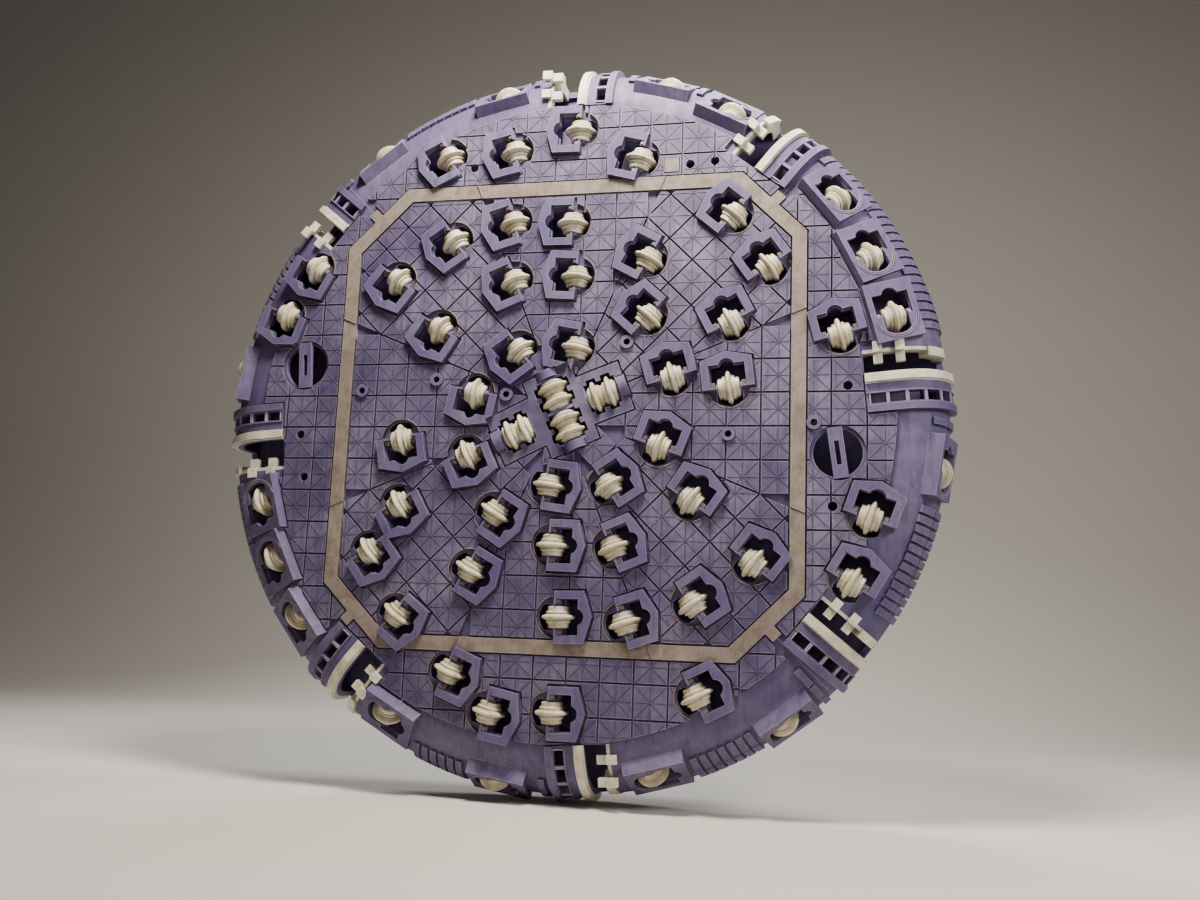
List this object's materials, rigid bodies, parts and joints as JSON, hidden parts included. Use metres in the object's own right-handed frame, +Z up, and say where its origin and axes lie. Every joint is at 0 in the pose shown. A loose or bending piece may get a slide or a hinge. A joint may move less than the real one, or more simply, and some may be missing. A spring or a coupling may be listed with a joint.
{
  "type": "tunnel boring machine cutterhead",
  "caption": "Hard-rock tunnel boring cutterhead: octagonal centre segment, outer segments, disc cutters in raised frames, muck buckets, on its main bearing ring.",
  "frame": {"origin": "centre of the mount face at the back of the main bearing's fixed ring", "axes": "+Y along the head's axis, away from the face, out of the mount; the face with the cutters looks along -Y; +Z up as in the picture; +X to the right seen from the front"},
  "size_m": [9.9822, 2.05, 9.9673],
  "materials": {
    "blue_paint": "worn violet-blue primer over mill scale, dusty",
    "wear_plate": "abrasion-resistant plate, scored crosswise, worn violet-blue",
    "dark_paint": "dark violet-blue paint inside the housings",
    "cutter_paint": "cream enamel with brown grime",
    "cream_lip": "cream enamel, chipped",
    "bare_strip": "tan primer with rust stains",
    "machined_steel": "turned and oiled"
  },
  "bodies": {
    "bearing": {"bearing_ring": "machined_steel"},
    "cutterhead": {"rotor_ring": "machined_steel", "torque_tube": "blue_paint", "centre_segment": "blue_paint", "segment_right": "blue_paint", "segment_top": "blue_paint", "segment_left": "blue_paint", "segment_bottom": "blue_paint", "rear_plates": "blue_paint", "chute_plates": "dark_paint", "gauge_boxes": "blue_paint", "cutter_housings": "dark_paint", "cutter_frames": "blue_paint", "cutter_saddles": "dark_paint", "wear_plates": "wear_plate", "cover_strips": "bare_strip", "bucket_lips": "cream_lip", "bucket_grids": "blue_paint", "bucket_blocks": "cream_lip", "rim_ribs": "blue_paint", "face_fittings": "blue_paint", "outer_cutters": "cutter_paint"},
    "twin_1_body": {"twin_1": "cutter_paint"},
    "twin_2_body": {"twin_2": "cutter_paint"},
    "twin_3_body": {"twin_3": "cutter_paint"},
    "twin_4_body": {"twin_4": "cutter_paint"},
    "cutter_10_body": {"cutter_10": "cutter_paint"},
    "cutter_11_body": {"cutter_11": "cutter_paint"},
    "cutter_12_body": {"cutter_12": "cutter_paint"},
    "cutter_13_body": {"cutter_13": "cutter_paint"},
    "cutter_14_body": {"cutter_14": "cutter_paint"},
    "cutter_15_body": {"cutter_15": "cutter_paint"},
    "cutter_16_body": {"cutter_16": "cutter_paint"},
    "cutter_17_body": {"cutter_17": "cutter_paint"},
    "cutter_18_body": {"cutter_18": "cutter_paint"},
    "cutter_19_body": {"cutter_19": "cutter_paint"},
    "cutter_20_body": {"cutter_20": "cutter_paint"},
    "cutter_21_body": {"cutter_21": "cutter_paint"},
    "cutter_22_body": {"cutter_22": "cutter_paint"},
    "cutter_23_body": {"cutter_23": "cutter_paint"},
    "cutter_24_body": {"cutter_24": "cutter_paint"},
    "cutter_25_body": {"cutter_25": "cutter_paint"},
    "cutter_26_body": {"cutter_26": "cutter_paint"},
    "cutter_27_body": {"cutter_27": "cutter_paint"},
    "cutter_28_body": {"cutter_28": "cutter_paint"},
    "cutter_29_body": {"cutter_29": "cutter_paint"},
    "cutter_30_body": {"cutter_30": "cutter_paint"},
    "cutter_31_body": {"cutter_31": "cutter_paint"},
    "cutter_32_body": {"cutter_32": "cutter_paint"},
    "cutter_33_body": {"cutter_33": "cutter_paint"},
    "cutter_34_body": {"cutter_34": "cutter_paint"},
    "cutter_35_body": {"cutter_35": "cutter_paint"},
    "cutter_36_body": {"cutter_36": "cutter_paint"},
    "cutter_37_body": {"cutter_37": "cutter_paint"},
    "cutter_38_body": {"cutter_38": "cutter_paint"},
    "cutter_39_body": {"cutter_39": "cutter_paint"},
    "cutter_40_body": {"cutter_40": "cutter_paint"},
    "cutter_41_body": {"cutter_41": "cutter_paint"},
    "cutter_42_body": {"cutter_42": "cutter_paint"},
    "cutter_43_body": {"cutter_43": "cutter_paint"}
  },
  "joints": [
    {"name": "bearing_spin", "type": "hinge", "parent": "bearing", "child": "cutterhead", "pos_m": [0, 0, 0], "axis": [0, 1, 0], "continuous": true},
    {"name": "twin_1_spin", "type": "hinge", "parent": "cutterhead", "child": "twin_1_body", "pos_m": [0.55081, -1.834, 0.21144], "axis": [0.9336, 0, 0.3584], "continuous": true},
    {"name": "twin_2_spin", "type": "hinge", "parent": "cutterhead", "child": "twin_2_body", "pos_m": [-0.57276, -1.834, -0.28557], "axis": [-0.8949, 0, -0.4462], "continuous": true},
    {"name": "twin_3_spin", "type": "hinge", "parent": "cutterhead", "child": "twin_3_body", "pos_m": [-0.09274, -1.834, 0.20829], "axis": [-0.4067, 0, 0.9135], "continuous": true},
    {"name": "twin_4_spin", "type": "hinge", "parent": "cutterhead", "child": "twin_4_body", "pos_m": [0.09274, -1.834, -0.20829], "axis": [0.4067, 0, -0.9135], "continuous": true},
    {"name": "cutter_10_spin", "type": "hinge", "parent": "cutterhead", "child": "cutter_10_body", "pos_m": [0.16946, -1.834, 0.83294], "axis": [0.1994, 0, 0.9799], "continuous": true},
    {"name": "cutter_11_spin", "type": "hinge", "parent": "cutterhead", "child": "cutter_11_body", "pos_m": [-0.12922, -1.834, -0.98153], "axis": [-0.1305, 0, -0.9914], "continuous": true},
    {"name": "cutter_12_spin", "type": "hinge", "parent": "cutterhead", "child": "cutter_12_body", "pos_m": [-0.60077, -1.834, 0.8119], "axis": [-0.5948, 0, 0.8039], "continuous": true},
    {"name": "cutter_13_spin", "type": "hinge", "parent": "cutterhead", "child": "cutter_13_body", "pos_m": [0.66264, -1.834, -0.98241], "axis": [0.5592, 0, -0.829], "continuous": true},
    {"name": "cutter_14_spin", "type": "hinge", "parent": "cutterhead", "child": "cutter_14_body", "pos_m": [-1.18081, -1.834, 0.24024], "axis": [-0.9799, 0, 0.1994], "continuous": true},
    {"name": "cutter_15_spin", "type": "hinge", "parent": "cutterhead", "child": "cutter_15_body", "pos_m": [-1.2507, -1.834, -0.58321], "axis": [-0.9063, 0, -0.4226], "continuous": true},
    {"name": "cutter_16_spin", "type": "hinge", "parent": "cutterhead", "child": "cutter_16_body", "pos_m": [1.29678, -1.834, -0.47199], "axis": [0.9397, 0, -0.342], "continuous": true},
    {"name": "cutter_17_spin", "type": "hinge", "parent": "cutterhead", "child": "cutter_17_body", "pos_m": [1.44782, -1.834, 0.42886], "axis": [0.9588, 0, 0.284], "continuous": true},
    {"name": "cutter_18_spin", "type": "hinge", "parent": "cutterhead", "child": "cutter_18_body", "pos_m": [-0.83992, -1.834, -1.34416], "axis": [-0.5299, 0, -0.848], "continuous": true},
    {"name": "cutter_19_spin", "type": "hinge", "parent": "cutterhead", "child": "cutter_19_body", "pos_m": [1.1141, -1.834, 1.23734], "axis": [0.6691, 0, 0.7431], "continuous": true},
    {"name": "cutter_20_spin", "type": "hinge", "parent": "cutterhead", "child": "cutter_20_body", "pos_m": [-0.04594, -1.834, -1.7544], "axis": [-0.0262, 0, -0.9997], "continuous": true},
    {"name": "cutter_21_spin", "type": "hinge", "parent": "cutterhead", "child": "cutter_21_body", "pos_m": [0.12591, -1.834, 1.8006], "axis": [0.0698, 0, 0.9976], "continuous": true},
    {"name": "cutter_22_spin", "type": "hinge", "parent": "cutterhead", "child": "cutter_22_body", "pos_m": [-0.7155, -1.834, 1.77092], "axis": [-0.3746, 0, 0.9272], "continuous": true},
    {"name": "cutter_23_spin", "type": "hinge", "parent": "cutterhead", "child": "cutter_23_body", "pos_m": [0.75216, -1.834, -1.77197], "axis": [0.3907, 0, -0.9205], "continuous": true},
    {"name": "cutter_24_spin", "type": "hinge", "parent": "cutterhead", "child": "cutter_24_body", "pos_m": [-1.73605, -1.834, 1.1274], "axis": [-0.8387, 0, 0.5446], "continuous": true},
    {"name": "cutter_25_spin", "type": "hinge", "parent": "cutterhead", "child": "cutter_25_body", "pos_m": [1.71611, -1.834, -1.15753], "axis": [0.829, 0, -0.5592], "continuous": true},
    {"name": "cutter_26_spin", "type": "hinge", "parent": "cutterhead", "child": "cutter_26_body", "pos_m": [2.17622, -1.834, 0.28651], "axis": [0.9914, 0, 0.1305], "continuous": true},
    {"name": "cutter_27_spin", "type": "hinge", "parent": "cutterhead", "child": "cutter_27_body", "pos_m": [-2.18135, -1.834, -0.38463], "axis": [-0.9848, 0, -0.1736], "continuous": true},
    {"name": "cutter_28_spin", "type": "hinge", "parent": "cutterhead", "child": "cutter_28_body", "pos_m": [1.09508, -1.834, 2.01688], "axis": [0.4772, 0, 0.8788], "continuous": true},
    {"name": "cutter_29_spin", "type": "hinge", "parent": "cutterhead", "child": "cutter_29_body", "pos_m": [-1.13564, -1.834, -2.09158], "axis": [-0.4772, 0, -0.8788], "continuous": true},
    {"name": "cutter_30_spin", "type": "hinge", "parent": "cutterhead", "child": "cutter_30_body", "pos_m": [2.18205, -1.834, 1.1359], "axis": [0.887, 0, 0.4617], "continuous": true},
    {"name": "cutter_31_spin", "type": "hinge", "parent": "cutterhead", "child": "cutter_31_body", "pos_m": [-2.16506, -1.834, -1.25], "axis": [-0.866, 0, -0.5], "continuous": true},
    {"name": "cutter_32_spin", "type": "hinge", "parent": "cutterhead", "child": "cutter_32_body", "pos_m": [0.0445, -1.834, 2.54961], "axis": [0.0175, 0, 0.9998], "continuous": true},
    {"name": "cutter_33_spin", "type": "hinge", "parent": "cutterhead", "child": "cutter_33_body", "pos_m": [0.06963, -1.834, -2.65909], "axis": [0.0262, 0, -0.9997], "continuous": true},
    {"name": "cutter_34_spin", "type": "hinge", "parent": "cutterhead", "child": "cutter_34_body", "pos_m": [-0.76684, -1.834, 2.58881], "axis": [-0.284, 0, 0.9588], "continuous": true},
    {"name": "cutter_35_spin", "type": "hinge", "parent": "cutterhead", "child": "cutter_35_body", "pos_m": [-1.5909, -1.834, 2.35861], "axis": [-0.5592, 0, 0.829], "continuous": true},
    {"name": "cutter_36_spin", "type": "hinge", "parent": "cutterhead", "child": "cutter_36_body", "pos_m": [0.93112, -1.834, -2.70418], "axis": [0.3256, 0, -0.9455], "continuous": true},
    {"name": "cutter_37_spin", "type": "hinge", "parent": "cutterhead", "child": "cutter_37_body", "pos_m": [-2.38006, -1.834, 1.82628], "axis": [-0.7934, 0, 0.6088], "continuous": true},
    {"name": "cutter_38_spin", "type": "hinge", "parent": "cutterhead", "child": "cutter_38_body", "pos_m": [1.77511, -1.834, -2.44323], "axis": [0.5878, 0, -0.809], "continuous": true},
    {"name": "cutter_39_spin", "type": "hinge", "parent": "cutterhead", "child": "cutter_39_body", "pos_m": [-2.53617, -1.834, -1.87667], "axis": [-0.8039, 0, -0.5948], "continuous": true},
    {"name": "cutter_40_spin", "type": "hinge", "parent": "cutterhead", "child": "cutter_40_body", "pos_m": [2.50303, -1.834, -1.92064], "axis": [0.7934, 0, -0.6088], "continuous": true},
    {"name": "cutter_41_spin", "type": "hinge", "parent": "cutterhead", "child": "cutter_41_body", "pos_m": [2.65405, -1.834, 1.85839], "axis": [0.8192, 0, 0.5736], "continuous": true},
    {"name": "cutter_42_spin", "type": "hinge", "parent": "cutterhead", "child": "cutter_42_body", "pos_m": [2.19513, -1.834, 2.57017], "axis": [0.6494, 0, 0.7604], "continuous": true},
    {"name": "cutter_43_spin", "type": "hinge", "parent": "cutterhead", "child": "cutter_43_body", "pos_m": [-2.10248, -1.834, -2.69106], "axis": [-0.6157, 0, -0.788], "continuous": true}
  ]
}
